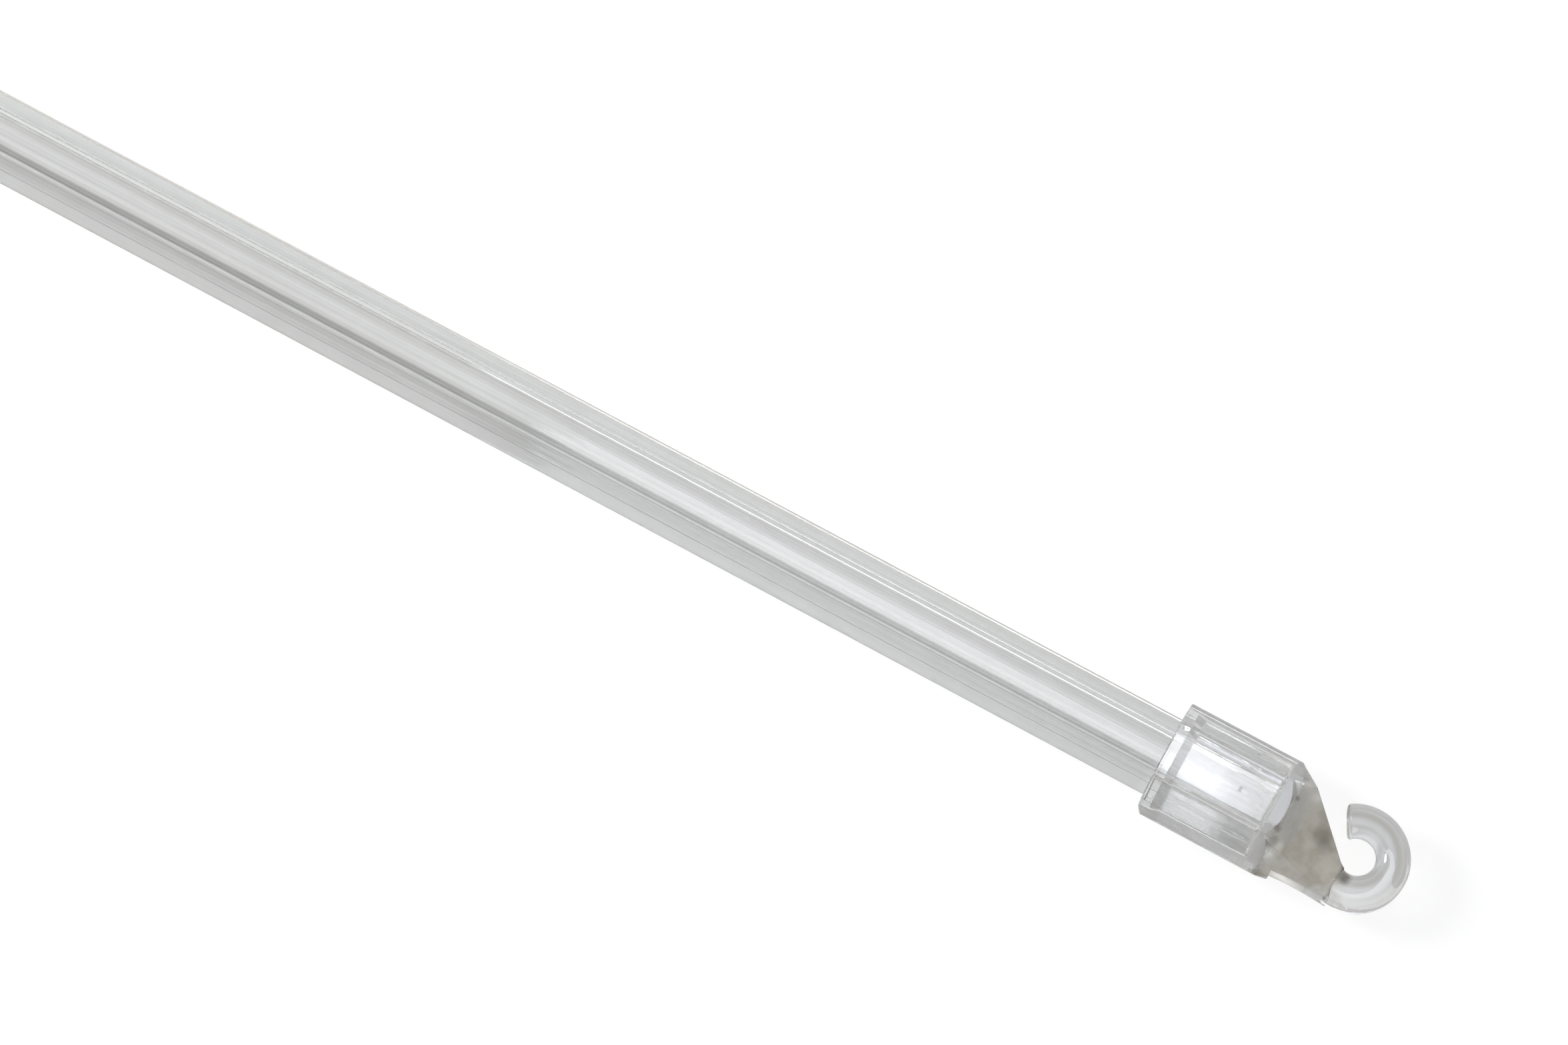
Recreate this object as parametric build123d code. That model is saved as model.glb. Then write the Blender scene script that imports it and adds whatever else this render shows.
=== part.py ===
from build123d import *
import math
import os

# Blind tilt wand, lying at rest: a solid clear hexagonal rod pressed into a moulded
# clear cap, whose closed end runs out through a tapered web into an open J-hook.
# +X runs along the wand towards the hook and +Z is up. The hook lies in the XY plane
# through the wand's axis. The origin is under the middle of the wand, on the surface
# that the cap's lowest flat rests on.

# Driving dimensions, in millimetres and degrees
WAND_LENGTH = 610.0         # far end of the rod to the outside of the hook

ROD_FLATS = 8.0             # across flats
ROD_CORNER_R = 0.6          # extruded corners are never sharp
ROD_END_BREAK = 0.3         # broken edge of a sawn end
ROD_GAP = 0.15              # the rod stops this far short of the socket's floor

SLEEVE_FLATS = 11.4         # across flats, outside of the cap
SLEEVE_CORNER_R = 0.45
MOUTH_EDGE_R = 0.2
MOUTH_BEVEL = (0.62, 0.95)  # bevelled corner beside the mouth: along the axis, across it

SOCKET_DEPTH = 12.6
SOCKET_CLEARANCE = 0.06     # each side, at the floor
SOCKET_DRAFT = 0.25         # lets the core pull out
SOCKET_FLOOR_R = 0.5
LEAD_IN_STEP = 0.35         # wider mouth that guides the rod in, each side
LEAD_IN_STRAIGHT = 1.2
LEAD_IN_DEPTH = 2.2

RIB_START, RIB_END = 8.3, 11.4   # six grip ribs inside the socket, from the mouth
RIB_RAMP = 0.6
RIB_WIDTH = 0.6
RIB_ROOT = 0.25             # depth from the rod's flat into the socket's wall

CONE_START = 13.08          # where the closed end's cone meets the hexagon's corners
CONE_ANGLE = 42.0           # half angle
CLOSED_END = 15.48          # flat closed end, from the mouth
HEEL_START = 14.16          # short ridge left on one corner beside the web
HEEL_TAPER = 15.0
HEEL_OVERLAP = 0.5          # how far the ridge runs in under the web

EYE_CENTRE = (22.73, 0.28)  # inside of the hook, from the mouth's centre
EYE_R = 2.04
HOOK_CENTRE = (22.66, 0.07)  # outside of the hook; the bar is thinner towards its tip
HOOK_R = 5.8
HOOK_HEIGHT = 3.9
HOOK_OUTER_ROUND = 1.7
HOOK_INNER_ROUND = 1.4
TIP_OUTER = (19.44, 4.62)   # two points on the flat end of the hook's tip
TIP_INNER = (20.98, 1.68)
TIP_EDGE_R = 0.3
TIP_CUT = (0.6, 3.0)        # how far the tip's cut runs past its inner and outer points

WEB_FOOT_X = 12.9           # web's root, inside the sleeve's closed end
WEB_ROOT = (14.6, 4.9)      # distance from the mouth, half thickness there
WEB_END_X = 22.15           # where the web, by now as thin as the bar, gives way to it
WEB_END_R = 1.2             # soft shoulder, seen as a faint line in the clear plastic
WEB_LOW_EDGE = ((15.48, -5.55), (18.9, -5.43), (22.4, -5.7))
WEB_EYE_END = -100.0        # the web follows the eye round to this angle

# Dimensions that follow from them
COS_30 = math.cos(math.radians(30))
SLEEVE_CORNERS = SLEEVE_FLATS / COS_30
SLEEVE_CORNER_REACH = SLEEVE_CORNERS / 2 - SLEEVE_CORNER_R * (1 / COS_30 - 1)
SOCKET_FLATS = ROD_FLATS + 2 * SOCKET_CLEARANCE
SOCKET_MOUTH_FLATS = SOCKET_FLATS + 2 * SOCKET_DEPTH * math.tan(math.radians(SOCKET_DRAFT))
LEAD_IN_FLATS = SOCKET_MOUTH_FLATS + 2 * LEAD_IN_STEP
LEAD_IN_TAPER = math.degrees(math.atan2(LEAD_IN_STEP, LEAD_IN_DEPTH - LEAD_IN_STRAIGHT))
ROD_SEAT = SOCKET_DEPTH - ROD_GAP
AXIS_Z = SLEEVE_FLATS / 2
MOUTH_X = WAND_LENGTH / 2 - (HOOK_CENTRE[0] + HOOK_R)
BEYOND = 20.0               # cutters reach this far past the part
SAME = 0.01                 # lengths and directions that differ by less are the same


def hexagon(across_flats, corner_r, x):
    """A hexagon across the X axis at x, with a flat on top and rounded corners."""
    outline = RegularPolygon(across_flats / 2, 6, major_radius=False)
    return Plane.YZ.offset(x) * fillet(outline.vertices(), corner_r)


def end_edges(solid, side):
    """Edges of the face at the low (side 0) or high (side -1) end along X."""
    return solid.faces().sort_by(Axis.X)[side].edges()


def hex_rod():
    """Solid extruded rod, sawn square at both ends."""
    start = -WAND_LENGTH / 2
    length = MOUTH_X + ROD_SEAT - start
    rod = extrude(hexagon(ROD_FLATS, ROD_CORNER_R, start), length)
    rod = chamfer(end_edges(rod, 0) + end_edges(rod, -1), ROD_END_BREAK)
    return Pos(0, 0, AXIS_Z) * rod


def sleeve():
    """Outside of the cap's hexagonal part, closed by a cone and a flat end."""
    body = extrude(hexagon(SLEEVE_FLATS, SLEEVE_CORNER_R, 0), CLOSED_END)
    body = fillet(end_edges(body, 0), MOUTH_EDGE_R)

    slope = math.tan(math.radians(CONE_ANGLE))
    corner = SLEEVE_CORNERS / 2
    cone = make_face(
        Polyline(
            (-BEYOND, 0),
            (-BEYOND, BEYOND),
            (CONE_START - (BEYOND - corner) / slope, BEYOND),
            (CLOSED_END, corner - (CLOSED_END - CONE_START) * slope),
            (CLOSED_END, 0),
            close=True,
        )
    )
    return body & revolve(cone, Axis.X)


def heel():
    """Short ridge of the hexagon's lower corner that the cone leaves beside the web."""
    drop = (CLOSED_END - HEEL_START) * math.tan(math.radians(HEEL_TAPER))
    inner_y = WEB_LOW_EDGE[0][1] + HEEL_OVERLAP
    outline = make_face(
        Polyline(
            (WEB_FOOT_X, inner_y),
            (WEB_FOOT_X, -BEYOND),
            (HEEL_START, -BEYOND),
            (HEEL_START, -SLEEVE_CORNER_REACH),
            (CLOSED_END, -SLEEVE_CORNER_REACH + drop),
            (CLOSED_END, inner_y),
            close=True,
        )
    )
    corner = extrude(hexagon(SLEEVE_FLATS, SLEEVE_CORNER_R, WEB_FOOT_X), CLOSED_END - WEB_FOOT_X)
    return extrude(outline, BEYOND, both=True) & corner


def socket():
    """Space inside the cap: wider lead-in, taper and drafted hexagonal socket."""
    floor = hexagon(SOCKET_FLATS, ROD_CORNER_R, SOCKET_DEPTH)
    bore = extrude(floor, -SOCKET_DEPTH, taper=-SOCKET_DRAFT)
    bore = fillet(end_edges(bore, -1), SOCKET_FLOOR_R)
    mouth = extrude(hexagon(LEAD_IN_FLATS, ROD_CORNER_R, -1), LEAD_IN_STRAIGHT + 1)
    taper = extrude(
        hexagon(LEAD_IN_FLATS, ROD_CORNER_R, LEAD_IN_STRAIGHT),
        LEAD_IN_DEPTH - LEAD_IN_STRAIGHT,
        taper=LEAD_IN_TAPER,
    )
    return bore + mouth + taper


def grip_ribs():
    """Six low ramped ribs, one on the middle of each flat, that bear on the rod."""
    crest = ROD_FLATS / 2
    profile = make_face(
        Plane.XZ
        * Polyline(
            (RIB_START, crest + RIB_ROOT),
            (RIB_START, crest + RIB_ROOT / 2),
            (RIB_START + RIB_RAMP, crest),
            (RIB_END, crest),
            (RIB_END, crest + RIB_ROOT),
            close=True,
        )
    )
    rib = extrude(profile, RIB_WIDTH / 2, both=True)
    return [Rot(X=60 * i) * rib for i in range(6)]


def slant_end():
    """Point where the web's straight upper edge runs out along the eye."""
    start = Vector(CONE_START, SLEEVE_CORNER_REACH)
    to_eye = Vector(*EYE_CENTRE) - start
    reach = math.sqrt(to_eye.length**2 - EYE_R**2)
    heading = math.atan2(to_eye.Y, to_eye.X) - math.asin(EYE_R / to_eye.length)
    return start + Vector(math.cos(heading), math.sin(heading)) * reach


def on_eye(degrees):
    """Point on the eye's wall at an angle from the +X direction."""
    turn = math.radians(degrees)
    return Vector(*EYE_CENTRE) + Vector(math.cos(turn), math.sin(turn)) * EYE_R


def web():
    """Wedge between the closed end and the hook, thinner towards the hook."""
    tangent = slant_end()
    from_eye = tangent - Vector(*EYE_CENTRE)
    tangent_angle = math.degrees(math.atan2(from_eye.Y, from_eye.X))
    eye_end = on_eye(WEB_EYE_END)
    heel_point, waist, low_end = WEB_LOW_EDGE
    foot = (WEB_FOOT_X, heel_point[1])
    outline = make_face(
        Polyline(
            foot,
            (WEB_FOOT_X, SLEEVE_CORNER_REACH),
            (CONE_START, SLEEVE_CORNER_REACH),
            tangent,
        )
        + ThreePointArc(tangent, on_eye((tangent_angle + WEB_EYE_END) / 2), eye_end)
        + Line(eye_end, low_end)
        + ThreePointArc(low_end, waist, heel_point)
        + Line(heel_point, foot)
    )
    plan = extrude(outline, BEYOND, both=True)

    root_x, root_half = WEB_ROOT
    end_half = HOOK_HEIGHT / 2
    slope = (root_half - end_half) / (WEB_END_X - root_x)
    foot_half = root_half + slope * (root_x - WEB_FOOT_X)
    side = make_face(
        Plane.XZ
        * Polyline(
            (WEB_FOOT_X, -foot_half),
            (WEB_END_X, -end_half),
            (WEB_END_X, end_half),
            (WEB_FOOT_X, foot_half),
            close=True,
        )
    )
    side = fillet(side.vertices().group_by(Axis.X)[-1], WEB_END_R)
    wedge = extrude(side, BEYOND, both=True)
    envelope = extrude(hexagon(SLEEVE_FLATS, SLEEVE_CORNER_R, WEB_FOOT_X), BEYOND)
    return plan & wedge & envelope


def hook():
    """Open ring of rounded bar, cut off flat at the tip."""
    outside = Pos(*HOOK_CENTRE) * Circle(HOOK_R)
    inside = Pos(*EYE_CENTRE) * Circle(EYE_R)
    ring = extrude(outside - inside, HOOK_HEIGHT / 2, both=True)
    for radius, rounding in ((HOOK_R, HOOK_OUTER_ROUND), (EYE_R, HOOK_INNER_ROUND)):
        circles = ring.edges().filter_by(GeomType.CIRCLE)
        rims = [e for e in circles if abs(e.radius - radius) < SAME]
        ring = fillet(rims, rounding)

    inner, outer = Vector(*TIP_INNER), Vector(*TIP_OUTER)
    across_tip = (outer - inner).normalized()
    opening = make_face(
        Polyline(
            inner - across_tip * TIP_CUT[0],
            outer + across_tip * TIP_CUT[1],
            (CONE_START, HOOK_R * 2),
            (CONE_START, SLEEVE_CORNER_REACH),
            slant_end(),
            close=True,
        )
    )
    ring -= extrude(opening, BEYOND, both=True)
    upright = [f for f in ring.faces() if abs(f.normal_at().Z) < SAME]
    tip = [f for f in upright if f.geom_type == GeomType.PLANE and abs(f.normal_at().dot(across_tip)) < SAME]
    return fillet(tip[0].edges(), TIP_EDGE_R)


def hook_cap():
    """Moulded cap in one piece: sleeve, closed end, web and hook."""
    cap = sleeve() + heel() + web() + hook()
    cap = cap - socket() + grip_ribs()

    along, across = MOUTH_BEVEL
    bevel = make_face(
        Polyline(
            (0, -SLEEVE_CORNER_REACH + across),
            (-along, -SLEEVE_CORNER_REACH + 2 * across),
            (-along, -SLEEVE_CORNER_REACH - 1),
            (along, -SLEEVE_CORNER_REACH - 1),
            (along, -SLEEVE_CORNER_REACH),
            close=True,
        )
    )
    cap -= extrude(bevel, BEYOND, both=True)
    return Pos(MOUTH_X, 0, AXIS_Z) * cap


os.makedirs("parts", exist_ok=True)
export_step(hex_rod(), "parts/hex_rod.step")
export_step(hook_cap(), "parts/hook_cap.step")
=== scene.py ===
"""Dresses the blind tilt wand: a clear extruded rod in a clear moulded hook cap."""

import logging
import math
import random
from dataclasses import dataclass, field
from enum import Enum

import bmesh
import bpy
from mathutils import Matrix, Vector


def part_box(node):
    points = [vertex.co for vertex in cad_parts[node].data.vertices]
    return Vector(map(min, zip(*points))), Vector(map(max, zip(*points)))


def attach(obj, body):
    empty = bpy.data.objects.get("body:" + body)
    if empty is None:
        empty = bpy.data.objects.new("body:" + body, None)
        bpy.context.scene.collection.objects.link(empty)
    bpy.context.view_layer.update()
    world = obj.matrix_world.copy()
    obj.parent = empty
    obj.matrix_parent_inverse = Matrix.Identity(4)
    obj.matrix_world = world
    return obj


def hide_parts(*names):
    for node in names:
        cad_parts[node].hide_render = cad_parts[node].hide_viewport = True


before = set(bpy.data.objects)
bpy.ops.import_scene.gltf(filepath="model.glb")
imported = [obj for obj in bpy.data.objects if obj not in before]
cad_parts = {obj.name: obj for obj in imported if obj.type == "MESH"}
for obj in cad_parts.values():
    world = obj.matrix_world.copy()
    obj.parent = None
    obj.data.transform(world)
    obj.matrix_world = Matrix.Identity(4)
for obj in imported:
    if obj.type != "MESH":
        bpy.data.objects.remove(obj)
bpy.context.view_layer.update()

log = logging.getLogger("tilt_wand")
MM = 0.001
BODY = "root"
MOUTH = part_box("hook_cap")[0][0] / MM
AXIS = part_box("hook_cap")[1][2] / 2 / MM
HALF_FLAT = math.radians(30)


class Flat(Enum):
    """The rod's upper flats, by the direction that each faces about +X from +Y, in degrees."""

    FAR = 30.0
    TOP = 90.0
    NEAR = 150.0


def linear(hex_colour: str) -> tuple[float, float, float, float]:
    """Turn an sRGB hex colour into linear colour with full alpha.

    Args:
        hex_colour: Six hex digits with a leading number sign.

    Returns:
        Red, green, blue and alpha, in linear light.
    """
    parts = [int(hex_colour[i : i + 2], 16) / 255 for i in (1, 3, 5)]
    lit = [c / 12.92 if c <= 0.04045 else ((c + 0.055) / 1.055) ** 2.4 for c in parts]
    return (lit[0], lit[1], lit[2], 1.0)


def add_node(
    tree: bpy.types.NodeTree,
    kind: str,
    settings: dict[str, object] | None = None,
    inputs: dict[str | int, object] | None = None,
) -> bpy.types.Node:
    """Add a node, set its properties, and set or link its inputs.

    Args:
        tree: Node tree that gets the node.
        kind: The node's type name.
        settings: Property values of the node.
        inputs: Values or output sockets, by input name or number.

    Returns:
        The new node.
    """
    node = tree.nodes.new(kind)
    for name, value in (settings or {}).items():
        setattr(node, name, value)
    for name, value in (inputs or {}).items():
        if isinstance(value, bpy.types.NodeSocket):
            tree.links.new(value, node.inputs[name])
        else:
            node.inputs[name].default_value = value
    return node


def fill_ramp(node: bpy.types.Node, stops: tuple[tuple[float, str], ...]) -> None:
    """Give a colour ramp its stops.

    Args:
        node: The colour ramp node.
        stops: Place and sRGB hex colour of each stop, in order.
    """
    elements = node.color_ramp.elements
    while len(elements) > 1:
        elements.remove(elements[-1])
    for i, (place, colour) in enumerate(stops):
        stop = elements[0] if i == 0 else elements.new(place)
        stop.position = place
        stop.color = linear(colour)


class Finish:
    """The step that the wand's two plastics share."""

    pattern_detail = 3.0

    def start(
        self, name: str, grains: tuple[tuple[float, float, float], ...]
    ) -> tuple[bpy.types.Material, bpy.types.NodeSocket, list[bpy.types.NodeSocket]]:
        """Start a node material that knows its place on the wand and has patterns of real sizes.

        Args:
            name: Name of the plastic and its making.
            grains: For each pattern, the size of its grain in millimetres along X, Y and Z.

        Returns:
            The material, the place in millimetres from the middle of the cap's mouth, and for
            each pattern a value from 0 to 1.
        """
        made = bpy.data.materials.new(name)
        made.use_nodes = True
        tree = made.node_tree
        tree.nodes.clear()
        place = add_node(
            tree,
            "ShaderNodeMapping",
            inputs={
                "Vector": add_node(tree, "ShaderNodeTexCoord").outputs["Object"],
                "Location": (-MOUTH, 0.0, -AXIS),
                "Scale": (1 / MM, 1 / MM, 1 / MM),
            },
        ).outputs[0]
        patterns = []
        for grain in grains:
            sized = add_node(
                tree,
                "ShaderNodeMapping",
                inputs={"Vector": place, "Scale": tuple(1 / length for length in grain)},
            )
            pattern = add_node(
                tree,
                "ShaderNodeTexNoise",
                inputs={"Vector": sized.outputs[0], "Scale": 1.0, "Detail": self.pattern_detail},
            )
            patterns.append(pattern.outputs[0])
        return made, place, patterns


@dataclass(frozen=True)
class DrawnAcrylic(Finish):
    """Clear acrylic, drawn hot through a die, with its patterns in millimetres.

    The die's marks run on for metres. Real ones are a few hundredths of a millimetre wide, which
    is too fine to show, so they are drawn 0.25 mm wide or more.
    """

    name: str = "clear_acrylic_extruded"
    clear: str = "#FEFEFE"
    streak: str = "#EAEAE7"
    line: str = "#5C5C56"
    # Matt white: the sawn end's frost, and the painted highlight on the upward flat in the socket
    frost_and_sheen: str = "#F4F6FA"
    ior: float = 1.49
    roughness: float = 0.0
    absorption: str = "#B4B8B0"
    density: float = 6.0
    streak_grain: tuple[float, float, float] = (2000.0, 0.3, 0.3)
    streak_reach: tuple[float, float] = (0.42, 0.72)
    relief_grain: tuple[float, float, float] = (2000.0, 0.25, 0.25)
    relief_depth: float = 0.0015
    # Patches of painted highlight on the upward-facing flat inside the socket
    sheen_grain: tuple[float, float, float] = (14.0, 0.55, 4.0)
    sheen_share: tuple[float, float] = (0.2, 0.42)
    sheen_reach: tuple[float, float] = (0.35, 0.65)
    sheen_start: tuple[float, float] = (1.1, 1.5)
    level: tuple[float, float] = (0.97, 0.995)
    sawn_reach: tuple[float, float] = (-0.9, -0.99)
    sawn_share: float = 0.85

    def material(self) -> bpy.types.Material:
        """Build the material: a glassy surface with the die's streaks along it.

        Returns:
            A node-based material named for the plastic and its making.
        """
        made, place, (soft, fine, sheen_pattern) = self.start(
            self.name, (self.streak_grain, self.relief_grain, self.sheen_grain)
        )
        tree = made.node_tree
        # Drawn acrylic is clear as glass, but the die drags faint grey streaks out along it
        streaks = add_node(
            tree,
            "ShaderNodeMapRange",
            {"interpolation_type": "SMOOTHSTEP"},
            {"Value": soft, "From Min": self.streak_reach[0], "From Max": self.streak_reach[1]},
        )
        tinted = add_node(
            tree,
            "ShaderNodeMix",
            {"data_type": "RGBA"},
            {0: streaks.outputs[0], 6: linear(self.clear), 7: linear(self.streak)},
        )
        # The marked lines darken the colour: die lines, and painted shade along the top and near
        # flats
        lines = add_node(tree, "ShaderNodeAttribute", {"attribute_name": "die_line_and_shade"})
        lined = add_node(
            tree,
            "ShaderNodeMix",
            {"data_type": "RGBA"},
            {0: lines.outputs["Fac"], 6: tinted.outputs[2], 7: linear(self.line)},
        )
        relief = add_node(
            tree,
            "ShaderNodeBump",
            inputs={"Strength": 1.0, "Distance": self.relief_depth * MM, "Height": fine},
        )
        glassy = add_node(
            tree,
            "ShaderNodeBsdfPrincipled",
            inputs={
                "Base Color": lined.outputs[2],
                "Roughness": self.roughness,
                "IOR": self.ior,
                "Transmission Weight": 1.0,
                "Normal": relief.outputs[0],
            },
        )
        # Painted highlight: inside the socket the upward-facing flat is mixed, in patches, with
        # matt white, for the overhead light that the gap around the rod reflects
        along = add_node(tree, "ShaderNodeSeparateXYZ", inputs={0: place})
        normal = add_node(tree, "ShaderNodeNewGeometry")
        facing = add_node(tree, "ShaderNodeSeparateXYZ", inputs={0: normal.outputs["Normal"]})
        share = add_node(
            tree,
            "ShaderNodeMapRange",
            inputs={
                "Value": sheen_pattern,
                "From Min": self.sheen_reach[0],
                "From Max": self.sheen_reach[1],
                "To Min": self.sheen_share[0],
                "To Max": self.sheen_share[1],
            },
        ).outputs[0]
        for value, reach in (
            (along.outputs["X"], self.sheen_start),
            (facing.outputs["Z"], self.level),
        ):
            eased = add_node(
                tree,
                "ShaderNodeMapRange",
                {"interpolation_type": "SMOOTHSTEP"},
                {"Value": value, "From Min": reach[0], "From Max": reach[1]},
            )
            share = add_node(
                tree, "ShaderNodeMath", {"operation": "MULTIPLY"}, {0: share, 1: eased.outputs[0]}
            ).outputs[0]
        # A sawn end is left matt and white
        sawn = add_node(
            tree,
            "ShaderNodeMapRange",
            inputs={
                "Value": facing.outputs["X"],
                "From Min": self.sawn_reach[0],
                "From Max": self.sawn_reach[1],
                "To Max": self.sawn_share,
            },
        )
        share = add_node(
            tree, "ShaderNodeMath", {"operation": "MAXIMUM"}, {0: share, 1: sawn.outputs[0]}
        ).outputs[0]
        # Matt white for the painted highlight and the sawn end
        frost_and_sheen_bsdf = add_node(tree, "ShaderNodeBsdfDiffuse", inputs={"Color": linear(self.frost_and_sheen)})
        surface = add_node(
            tree,
            "ShaderNodeMixShader",
            inputs={0: share, 1: glassy.outputs[0], 2: frost_and_sheen_bsdf.outputs[0]},
        )
        inside = add_node(
            tree,
            "ShaderNodeVolumeAbsorption",
            inputs={"Color": linear(self.absorption), "Density": self.density},
        )
        add_node(
            tree,
            "ShaderNodeOutputMaterial",
            inputs={"Surface": surface.outputs[0], "Volume": inside.outputs[0]},
        )
        return made


@dataclass(frozen=True)
class MouldedAcrylic(Finish):
    """Clear acrylic, injection moulded, with grey-brown patches in the web, partly cloud and partly
    painted shade.

    Places and patterns are in millimetres, and places are counted from the middle of the mouth.
    The real specks in the cloud are too fine to show, so they are drawn 0.2 mm wide.
    """

    name: str = "clear_acrylic_moulded"
    clear: str = "#FEFEFE"
    cloud: str = "#F0EDE6"
    dark_cloud_and_shade: str = "#C6BFB1"
    # Painted shade for the outlines, where walls are seen at a glancing angle
    rim_shade: str = "#8C8C88"
    rim_shade_reach: tuple[float, float] = (0.8, 0.99)
    ior: float = 1.49
    absorption: str = "#B4B2A8"
    density: float = 14.0
    wave_grain: float = 2.6
    wave_depth: float = 0.01
    cloud_grain: float = 1.7
    cloud_reach: tuple[float, float] = (0.35, 0.68)
    speck_grain: float = 0.22
    speck_share: float = 0.5
    ripple_grain: float = 0.7
    ripple_depth: float = 0.05
    cloud_roughness: float = 0.28
    web_limits: tuple[tuple[float, float, float, float], ...] = (
        (1.0, 0.0, 13.4, 14.4),
        (1.0, -1.08, 26.2, 25.2),
        (0.6667, 0.7457, 14.0, 13.4),
    )
    shade_limit: tuple[float, float, float, float] = (1.0, -0.6, 13.6, 17.6)
    # Painted highlight: matt white over the closed end
    end_sheen: str = "#F4F5F7"
    end_sheen_share: float = 0.55
    end_sheen_limits: tuple[tuple[float, float, float, float], ...] = (
        (1.0, 0.0, 12.5, 12.8),
        (1.0, 0.0, 14.3, 13.8),
        (0.0, 1.0, 4.7, 4.2),
        (0.0, 1.0, -2.1, -1.6),
    )
    # Painted shade: dark patches in the web, at its joint with the hook and around the closed end
    patch_shade: str = "#77746C"
    patch_shade_share: float = 0.7
    patch_shade_core: float = 0.3
    shade_patches: tuple[tuple[float, float, float], ...] = (
        (18.4, -0.1, 1.5),
        (22.6, -2.4, 1.0),
        (14.0, -1.9, 0.6),
        (14.2, -3.2, 0.9),
        (14.4, 1.9, 0.4),
        (14.2, 4.4, 0.6),
    )

    def share_within(
        self,
        tree: bpy.types.NodeTree,
        place: bpy.types.NodeSocket,
        limits: tuple[tuple[float, float, float, float], ...],
    ) -> bpy.types.NodeSocket:
        """Mark one part of the moulding by the soft limits that it lies between.

        Args:
            tree: Node tree that gets the nodes.
            place: Place in millimetres from the mouth.
            limits: For each, its direction along X and Y, and where the part fades in.

        Returns:
            1 inside all the limits and 0 elsewhere.
        """
        share: bpy.types.NodeSocket | float = 1.0
        for along, across, start, end in limits:
            value = add_node(
                tree,
                "ShaderNodeVectorMath",
                {"operation": "DOT_PRODUCT"},
                {0: place, 1: (along, across, 0.0)},
            ).outputs["Value"]
            eased = add_node(
                tree,
                "ShaderNodeMapRange",
                {"interpolation_type": "SMOOTHSTEP"},
                {"Value": value, "From Min": start, "From Max": end},
            )
            share = add_node(
                tree, "ShaderNodeMath", {"operation": "MULTIPLY"}, {0: share, 1: eased.outputs[0]}
            ).outputs[0]
        return share

    def shade_patched(
        self, tree: bpy.types.NodeTree, place: bpy.types.NodeSocket
    ) -> bpy.types.NodeSocket:
        """Mark the patches of painted shade in the web, at its joint with the hook and around the
        closed end.

        Args:
            tree: Node tree that gets the nodes.
            place: Place in millimetres from the mouth.

        Returns:
            The share of the dark colour.
        """
        level = add_node(
            tree, "ShaderNodeVectorMath", {"operation": "MULTIPLY"}, {0: place, 1: (1.0, 1.0, 0.0)}
        )
        share: bpy.types.NodeSocket | float = 0.0
        for along, across, radius in self.shade_patches:
            gap = add_node(
                tree,
                "ShaderNodeVectorMath",
                {"operation": "DISTANCE"},
                {0: level.outputs[0], 1: (along, across, 0.0)},
            )
            eased = add_node(
                tree,
                "ShaderNodeMapRange",
                {"interpolation_type": "SMOOTHSTEP"},
                {
                    "Value": gap.outputs["Value"],
                    "From Min": radius,
                    "From Max": radius * self.patch_shade_core,
                    "To Max": self.patch_shade_share,
                },
            )
            share = add_node(
                tree, "ShaderNodeMath", {"operation": "MAXIMUM"}, {0: share, 1: eased.outputs[0]}
            ).outputs[0]
        return share

    def material(self) -> bpy.types.Material:
        """Build the material: slow waves all over, and cloud, painted shade and ripples in the web.

        Returns:
            A node-based material named for the plastic and its making.
        """
        sizes = (self.wave_grain, self.cloud_grain, self.speck_grain, self.ripple_grain)
        made, place, (waving, clouding, specks, rippling) = self.start(
            self.name, tuple((size,) * 3 for size in sizes)
        )
        tree = made.node_tree
        web = self.share_within(tree, place, self.web_limits)
        # The web is tinted grey-brown in patches, partly cloud in the moulding and partly painted
        # shade for the darker surroundings seen through its slanted faces, deeper away from the
        # closed end
        patches = add_node(
            tree,
            "ShaderNodeMapRange",
            {"interpolation_type": "SMOOTHSTEP"},
            {"Value": clouding, "From Min": self.cloud_reach[0], "From Max": self.cloud_reach[1]},
        )
        shade_share = self.share_within(tree, place, (self.shade_limit,))
        darker = add_node(
            tree, "ShaderNodeMath", {"operation": "MULTIPLY"}, {0: patches.outputs[0], 1: shade_share}
        )
        speckled = add_node(
            tree,
            "ShaderNodeMath",
            {"operation": "MULTIPLY_ADD", "use_clamp": True},
            {0: specks, 1: self.speck_share, 2: darker.outputs[0]},
        )
        lifted = add_node(
            tree,
            "ShaderNodeMath",
            {"operation": "SUBTRACT", "use_clamp": True},
            {0: speckled.outputs[0], 1: self.speck_share / 2},
        )
        cloud_and_shade = add_node(
            tree,
            "ShaderNodeMix",
            {"data_type": "RGBA"},
            {0: lifted.outputs[0], 6: linear(self.cloud), 7: linear(self.dark_cloud_and_shade)},
        )
        tinted = add_node(
            tree,
            "ShaderNodeMix",
            {"data_type": "RGBA"},
            {0: web, 6: linear(self.clear), 7: cloud_and_shade.outputs[2]},
        )
        # Painted shade in dark patches
        patch_shaded = add_node(
            tree,
            "ShaderNodeMix",
            {"data_type": "RGBA"},
            {0: self.shade_patched(tree, place), 6: tinted.outputs[2], 7: linear(self.patch_shade)},
        )
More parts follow.
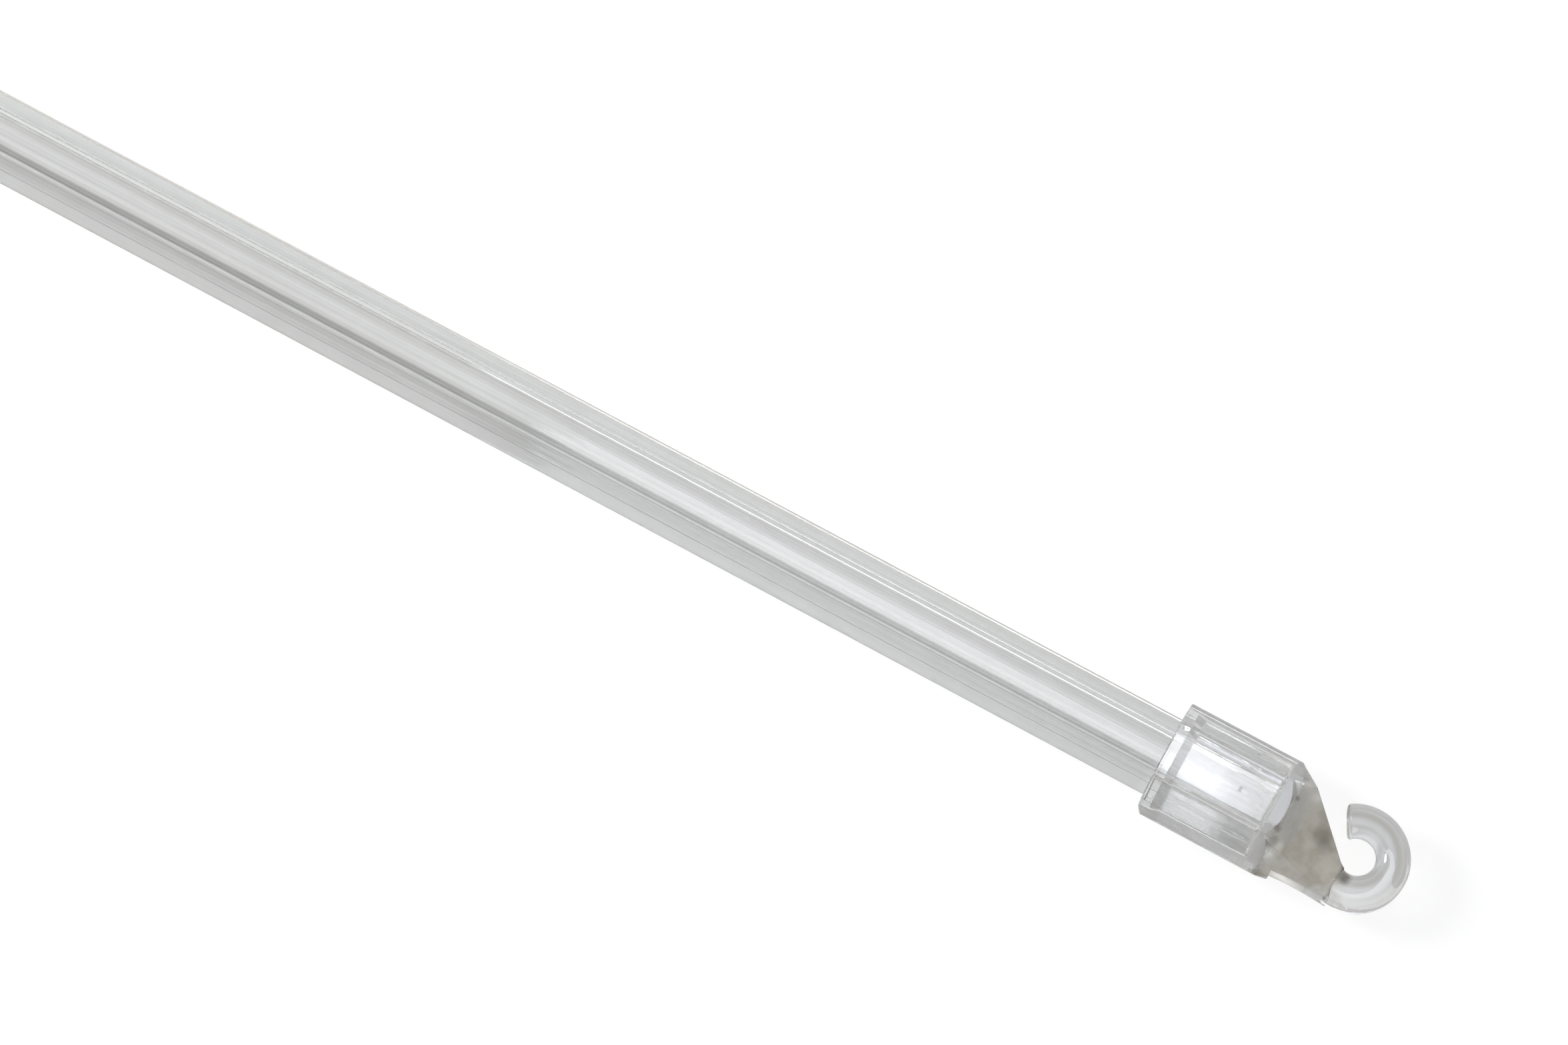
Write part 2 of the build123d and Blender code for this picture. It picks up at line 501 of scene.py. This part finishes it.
        # Painted shade: walls seen at a glancing angle are darkened, which draws the moulding's
        # grey outlines
        slope = add_node(tree, "ShaderNodeLayerWeight")
        rim = add_node(
            tree,
            "ShaderNodeMapRange",
            {"interpolation_type": "SMOOTHSTEP"},
            {
                "Value": slope.outputs["Facing"],
                "From Min": self.rim_shade_reach[0],
                "From Max": self.rim_shade_reach[1],
            },
        )
        rim_shaded = add_node(
            tree,
            "ShaderNodeMix",
            {"data_type": "RGBA"},
            {0: rim.outputs[0], 6: patch_shaded.outputs[2], 7: linear(self.rim_shade)},
        )
        waves = add_node(
            tree,
            "ShaderNodeBump",
            inputs={"Strength": 1.0, "Distance": self.wave_depth * MM, "Height": waving},
        )
        ripples = add_node(
            tree,
            "ShaderNodeBump",
            inputs={
                "Strength": web,
                "Distance": self.ripple_depth * MM,
                "Height": rippling,
                "Normal": waves.outputs[0],
            },
        )
        rough = add_node(
            tree, "ShaderNodeMath", {"operation": "MULTIPLY"}, {0: web, 1: self.cloud_roughness}
        )
        glassy = add_node(
            tree,
            "ShaderNodeBsdfPrincipled",
            inputs={
                "Base Color": rim_shaded.outputs[2],
                "Roughness": rough.outputs[0],
                "IOR": self.ior,
                "Transmission Weight": 1.0,
                "Normal": ripples.outputs[0],
            },
        )
        # Painted highlight: a patch over the closed end is mixed with matt white, carrying on the
        # white of the rod's top flat in the socket
        end_sheened = add_node(tree, "ShaderNodeBsdfDiffuse", inputs={"Color": linear(self.end_sheen)})
        share = add_node(
            tree,
            "ShaderNodeMath",
            {"operation": "MULTIPLY"},
            {0: self.share_within(tree, place, self.end_sheen_limits), 1: self.end_sheen_share},
        )
        surface = add_node(
            tree,
            "ShaderNodeMixShader",
            inputs={0: share.outputs[0], 1: glassy.outputs[0], 2: end_sheened.outputs[0]},
        )
        inside = add_node(
            tree,
            "ShaderNodeVolumeAbsorption",
            inputs={"Color": linear(self.absorption), "Density": self.density},
        )
        add_node(
            tree,
            "ShaderNodeOutputMaterial",
            inputs={"Surface": surface.outputs[0], "Volume": inside.outputs[0]},
        )
        return made


@dataclass(frozen=True)
class DieLineAndShade:
    """A line or band along one flat, in millimetres from the flat's middle, pressed in by the die
    and darkened partly by painted shade.

    A real line is a few hundredths of a millimetre wide. It is drawn 0.1 mm wide or more, so that
    it shows. The darkness is the share of the line's colour: a faint die line's own grey, and
    painted shade in the dark band along the near side of the top flat and in the tint over the near
    flat. The fade is how much of that goes away from the cap.
    """

    flat: Flat
    offset: float
    width: float
    depth: float
    darkness: float
    fade: float = 0.0


@dataclass
class HexRod:
    """The drawn rod, with the faint waves and lines that its die leaves on the flats, and painted
    shade drawn along with the lines.

    Sizes are in millimetres, but the fade's start and length, counted from the cap's mouth, are in
    metres.
    """

    flats: float = 8.0
    corner_radius: float = 0.6
    corner_steps: int = 8
    flat_cuts: int = 41
    length_cuts: int = 90
    end_break: float = 0.3
    play: float = 0.02
    flat_margin: float = 0.1
    wave_height: float = 0.0015
    wave_count: int = 6
    first_wave: int = 9
    wave_step: int = 7
    wave_loss: float = 0.5
    fine_height: float = 0.0006
    angle_digits: int = 3
    fade_start: float = 0.074
    fade_length: float = 0.008
    gripped: float = 0.25
    end_facing: float = 0.9
    smooth_angle: float = 40.0
    seed: int = 7
    finish: DrawnAcrylic = field(default_factory=DrawnAcrylic)
    lines: tuple[DieLineAndShade, ...] = (
        DieLineAndShade(Flat.TOP, 1.65, 0.2, 0.0, 0.4, 1.0),
        DieLineAndShade(Flat.TOP, 1.28, 0.12, 0.002, 0.12, -2.0),
        DieLineAndShade(Flat.TOP, -0.36, 0.14, 0.001, 0.18),
        DieLineAndShade(Flat.TOP, -0.65, 0.8, 0.0, 0.13, 1.0),
        # Painted shade: the dark band along the near side of the top flat
        DieLineAndShade(Flat.TOP, -1.66, 0.3, 0.0, 0.85),
        DieLineAndShade(Flat.TOP, -1.97, 0.2, 0.001, 0.97),
        DieLineAndShade(Flat.NEAR, -0.08, 0.14, 0.001, 0.95, 0.3),
        # Painted shade: a darker tint over the whole near flat, stronger near the cap, where the
        # room is brighter
        DieLineAndShade(Flat.NEAR, -0.4, 5.0, 0.0, 0.54, 0.56),
        DieLineAndShade(Flat.FAR, -0.2, 0.13, 0.002, 0.12),
    )

    def section(self, shape: bmesh.types.BMesh, start: float) -> None:
        """Draw the rounded hexagon at the rod's far end.

        Args:
            shape: Mesh that gets the section as one face.
            start: Distance of the far end along X, in metres.
        """
        across = self.flats / 2 - self.play
        corner = across / math.cos(HALF_FLAT)
        bmesh.ops.create_circle(shape, cap_ends=True, segments=6, radius=corner * MM)
        bmesh.ops.rotate(shape, verts=shape.verts, matrix=Matrix.Rotation(math.radians(90), 3, "Y"))
        bmesh.ops.bevel(
            shape,
            geom=shape.verts[:],
            offset=self.corner_radius * math.tan(HALF_FLAT) * MM,
            offset_type="OFFSET",
            segments=self.corner_steps,
            profile=0.5,
            affect="VERTICES",
            material=-1,
        )
        straight = [e for e in shape.edges if e.calc_length() > self.corner_radius * MM]
        bmesh.ops.subdivide_edges(shape, edges=straight, cuts=self.flat_cuts, use_grid_fill=False)
        bmesh.ops.translate(shape, verts=shape.verts, vec=(start, 0, 0))

    def line_at(self, across: float, up: float, along: float) -> tuple[float, float]:
        """Find the die line, with its painted shade, at a point of the section.

        Args:
            across: Distance from the axis along Y, in millimetres.
            up: Distance from the axis along Z, in millimetres.
            along: Distance along the rod, in metres.

        Returns:
            The line's depth in millimetres and its darkness.
        """
        depth = darkness = 0.0
        for line in self.lines:
            angle = math.radians(line.flat.value)
            out = across * math.cos(angle) + up * math.sin(angle)
            if out < self.flats / 2 - self.flat_margin:
                continue
            side = across * math.sin(angle) - up * math.cos(angle)
            near = math.exp(-(((side - line.offset) / line.width) ** 2))
            from_mouth = MOUTH * MM - along
            faded = min(max((from_mouth - self.fade_start) / self.fade_length, 0), 1)
            # The socket's walls hide most of a line, so inside the socket its darkness, painted
            # shade included, is cut to a small share
            kept = 1 - line.fade * faded if from_mouth > 0 else self.gripped
            depth += line.depth * near
            darkness = max(darkness, line.darkness * near * kept)
        return depth, darkness

    def relief(self, angle: float, phases: list[float]) -> float:
        """Work out how far the die's waves stand off the true hexagon.

        Args:
            angle: Angle about the rod's axis, in radians.
            phases: One random phase for each wave.

        Returns:
            The height in millimetres.
        """
        height = 0.0
        for i, phase in enumerate(phases):
            turns = self.first_wave + self.wave_step * i
            height += math.sin(turns * angle + phase) / (1 + self.wave_loss * i)
        return height * self.wave_height

    def shape_surface(self, shape: bmesh.types.BMesh) -> None:
        """Press the die's waves and lines into the surface, and mark the lines and their painted
        shade.

        Args:
            shape: The rod about its own axis.
        """
        chance = random.Random(self.seed)
        phases = [chance.uniform(0, math.tau) for _ in range(self.wave_count)]
        fine: dict[float, float] = {}
        mark = shape.verts.layers.float.new("die_line_and_shade")
        for vert in shape.verts:
            radial = Vector((0, vert.co.y, vert.co.z))
            angle = math.atan2(radial.z, radial.y)
            depth, darkness = self.line_at(vert.co.y / MM, vert.co.z / MM, vert.co.x)
            place = round(angle, self.angle_digits)
            nick = fine.setdefault(place, chance.gauss(0, self.fine_height))
            height = self.relief(angle, phases) + nick - depth
            vert[mark] = darkness
            vert.co += radial.normalized() * (height * MM)

    def build(self) -> bpy.types.Object:
        """Build the rod.

        Returns:
            The rod, riding on the wand's body in place of the CAD node.
        """
        low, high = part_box("hex_rod")
        length = high[0] - low[0]
        shape = bmesh.new()
        self.section(shape, low[0])
        made = bmesh.ops.extrude_face_region(shape, geom=shape.faces[:])
        moved = [v for v in made["geom"] if isinstance(v, bmesh.types.BMVert)]
        bmesh.ops.translate(shape, verts=moved, vec=(length, 0, 0))
        rims = [e for f in shape.faces if abs(f.normal.x) > self.end_facing for e in f.edges]
        bmesh.ops.bevel(
            shape,
            geom=rims,
            offset=self.end_break * MM,
            segments=2,
            profile=0.5,
            affect="EDGES",
            material=-1,
        )
        lengthwise = [e for e in shape.edges if e.calc_length() > length / 2]
        bmesh.ops.subdivide_edges(
            shape, edges=lengthwise, cuts=self.length_cuts, use_grid_fill=True
        )
        self.shape_surface(shape)
        bmesh.ops.translate(shape, verts=shape.verts, vec=(0, 0, AXIS * MM))
        bmesh.ops.recalc_face_normals(shape, faces=shape.faces)
        mesh = bpy.data.meshes.new("rod")
        shape.to_mesh(mesh)
        shape.free()
        mesh.shade_smooth()
        mesh.set_sharp_from_angle(angle=math.radians(self.smooth_angle))
        mesh.materials.append(self.finish.material())
        rod = bpy.data.objects.new("rod", mesh)
        bpy.context.scene.collection.objects.link(rod)
        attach(rod, BODY)
        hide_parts("hex_rod")
        return rod


@dataclass
class HookCap:
    """The moulded cap, which keeps its CAD shape and gets its finish."""

    finish: MouldedAcrylic = field(default_factory=MouldedAcrylic)

    def dress(self) -> bpy.types.Object:
        """Give the CAD cap its finish.

        Returns:
            The cap.
        """
        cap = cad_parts["hook_cap"]
        cap.material_slots[0].material = self.finish.material()
        return cap


@dataclass(frozen=True)
class Softbox:
    """A lamp behind white cloth, by its azimuth and elevation in degrees and its size in metres.

    A lamp that is in gloss shows as a highlight on the plastic.
    """

    name: str
    direction: tuple[float, float]
    distance: float
    size: tuple[float, float]
    power: float
    colour: str
    in_gloss: bool = False


@dataclass
class Studio:
    """Plain white floor, soft light from above, darker room at the horizon, and the camera.

    Each colour of the sky goes with a height, from 0 at the horizon to 1 overhead.
    """

    camera_at: Vector = field(default_factory=lambda: Vector((291.8, -111.2, 614.6)) * MM)
    camera_aim: Vector = field(default_factory=lambda: Vector((229.5, 3.06, 5.7)) * MM)
    lens: float = 135.0
    sensor: float = 36.0
    clip_start: float = 0.01
    floor_size: float = 3.0
    paper: str = "#F2F2F1"
    backlit: float = 1.1
    backlit_share: float = 0.8
    through_share: float = 0.3
    through_level: float = 0.72
    room: float = 0.15
    overhead: float = 2.4
    turns: int = 32
    sky: tuple[tuple[float, str], ...] = (
        (0.0, "#3F3F3F"),
        (0.28, "#3F3F3F"),
        (0.33, "#DFE5F3"),
        (0.48, "#DFE5F3"),
        (0.53, "#BDB7AD"),
        (0.72, "#BDB7AD"),
        (0.78, "#3F3F3F"),
        (0.89, "#3F3F3F"),
        (0.91, "#88806A"),
        (0.94, "#88806A"),
        (0.952, "#9C9C9C"),
        (0.968, "#9C9C9C"),
        (0.978, "#F3F6FD"),
    )
    softboxes: tuple[Softbox, ...] = (
        Softbox("key", (190.0, 45.0), 0.9, (0.25, 0.25), 6.7, "#F8FBFF", True),
        Softbox("ceiling", (100.0, 75.0), 0.9, (0.25, 0.25), 0.93, "#F6FAFF"),
    )

    def make_camera(self) -> None:
        """Make the camera and set it as the scene's own."""
        data = bpy.data.cameras.new("camera")
        data.lens = self.lens
        data.sensor_width = self.sensor
        data.clip_start = self.clip_start
        camera = bpy.data.objects.new("camera", data)
        back = (self.camera_at - self.camera_aim).normalized()
        right = Vector((0, 0, 1)).cross(back).normalized()
        up = back.cross(right)
        turn = Matrix((right, up, back)).transposed().to_4x4()
        camera.matrix_world = Matrix.Translation(self.camera_at) @ turn
        bpy.context.scene.collection.objects.link(camera)
        bpy.context.scene.camera = camera

    def seen_in_plastic(self, tree: bpy.types.NodeTree) -> bpy.types.NodeSocket:
        """Tell whether a ray comes through the plastic or off its gloss.

        Args:
            tree: Node tree that gets the nodes.

        Returns:
            1 for such a ray and 0 for others.
        """
        path = add_node(tree, "ShaderNodeLightPath")
        either = add_node(
            tree,
            "ShaderNodeMath",
            {"operation": "MAXIMUM"},
            {0: path.outputs["Is Transmission Ray"], 1: path.outputs["Is Glossy Ray"]},
        )
        return either.outputs[0]

    def make_floor(self) -> None:
        """Lay matt white paper under the wand, lit a little from behind."""
        mesh = bpy.data.meshes.new("floor")
        shape = bmesh.new()
        bmesh.ops.create_grid(shape, x_segments=1, y_segments=1, size=self.floor_size / 2)
        shape.to_mesh(mesh)
        shape.free()
        floor = bpy.data.objects.new("floor", mesh)
        bpy.context.scene.collection.objects.link(floor)
        paint = bpy.data.materials.new("matt_white_paper")
        paint.use_nodes = True
        tree = paint.node_tree
        tree.nodes.clear()
        path = add_node(tree, "ShaderNodeLightPath")
        inside = self.seen_in_plastic(tree)
        paper = add_node(tree, "ShaderNodeBsdfDiffuse", inputs={"Color": linear(self.paper)})
        glow = add_node(
            tree,
            "ShaderNodeEmission",
            inputs={"Color": (1, 1, 1, 1), "Strength": self.backlit},
        )
        through = add_node(
            tree,
            "ShaderNodeEmission",
            inputs={"Color": (1, 1, 1, 1), "Strength": self.through_level},
        )
        share = add_node(
            tree, "ShaderNodeMath", {"operation": "MULTIPLY"}, {0: inside, 1: self.through_share}
        )
        refracted = add_node(
            tree,
            "ShaderNodeMixShader",
            inputs={0: share.outputs[0], 1: paper.outputs[0], 2: through.outputs[0]},
        )
        direct = add_node(
            tree,
            "ShaderNodeMath",
            {"operation": "MULTIPLY"},
            {0: path.outputs["Is Camera Ray"], 1: self.backlit_share},
        )
        seen = add_node(
            tree,
            "ShaderNodeMixShader",
            inputs={0: direct.outputs[0], 1: refracted.outputs[0], 2: glow.outputs[0]},
        )
        add_node(tree, "ShaderNodeOutputMaterial", inputs={"Surface": seen.outputs[0]})
        mesh.materials.append(paint)

    def make_world(self) -> None:
        """Surround the wand with soft light, brightest overhead in the plastic's gloss."""
        world = bpy.data.worlds.new("studio")
        world.use_nodes = True
        tree = world.node_tree
        tree.nodes.clear()
        place = add_node(tree, "ShaderNodeTexCoord")
        parts = add_node(tree, "ShaderNodeSeparateXYZ", inputs={0: place.outputs["Generated"]})
        heights = add_node(tree, "ShaderNodeValToRGB", inputs={0: parts.outputs["Z"]})
        fill_ramp(heights, self.sky)
        path = add_node(tree, "ShaderNodeLightPath")
        even = add_node(
            tree, "ShaderNodeBackground", inputs={"Color": (1, 1, 1, 1), "Strength": self.room}
        )
        white = add_node(
            tree, "ShaderNodeBackground", inputs={"Color": (1, 1, 1, 1), "Strength": 1.0}
        )
        room = add_node(
            tree,
            "ShaderNodeBackground",
            inputs={"Color": heights.outputs[0], "Strength": self.overhead},
        )
        unseen = add_node(
            tree,
            "ShaderNodeMixShader",
            inputs={0: self.seen_in_plastic(tree), 1: even.outputs[0], 2: room.outputs[0]},
        )
        both = add_node(
            tree,
            "ShaderNodeMixShader",
            inputs={0: path.outputs["Is Camera Ray"], 1: unseen.outputs[0], 2: white.outputs[0]},
        )
        add_node(tree, "ShaderNodeOutputWorld", inputs={"Surface": both.outputs[0]})
        bpy.context.scene.world = world

    def make_softbox(self, box: Softbox) -> None:
        """Hang one softbox over the hook's end of the wand, facing it.

        Args:
            box: The softbox.
        """
        data = bpy.data.lights.new(box.name, "AREA")
        data.shape = "RECTANGLE"
        data.size, data.size_y = box.size
        data.energy = box.power
        data.color = linear(box.colour)[:3]
        lamp = bpy.data.objects.new(box.name, data)
        azimuth, elevation = (math.radians(angle) for angle in box.direction)
        level = Vector((math.cos(azimuth), math.sin(azimuth), 0))
        towards = level * math.cos(elevation) + Vector((0, 0, math.sin(elevation)))
        turn = towards.to_track_quat("Z", "Y").to_matrix().to_4x4()
        lamp.matrix_world = Matrix.Translation(self.camera_aim + towards * box.distance) @ turn
        lamp.visible_camera = False
        lamp.visible_glossy = box.in_gloss
        bpy.context.scene.collection.objects.link(lamp)

    def build(self) -> None:
        """Make everything that isn't the wand."""
        self.make_camera()
        self.make_floor()
        self.make_world()
        for box in self.softboxes:
            self.make_softbox(box)
        bpy.context.scene.view_settings.view_transform = "Standard"
        # Light that is caught inside clear plastic turns many corners before it comes out
        paths = bpy.context.scene.cycles
        paths.max_bounces = self.turns
        paths.glossy_bounces = self.turns
        paths.transmission_bounces = self.turns


def main() -> None:
    """Build the studio, the rod and the cap's finish."""
    logging.basicConfig(level=logging.INFO)
    Studio().build()
    rod = HexRod().build()
    log.info("built %s, %d faces", rod.name, len(rod.data.polygons))
    cap = HookCap().dress()
    log.info("dressed %s", cap.name)


if __name__ == "__main__":
    main()
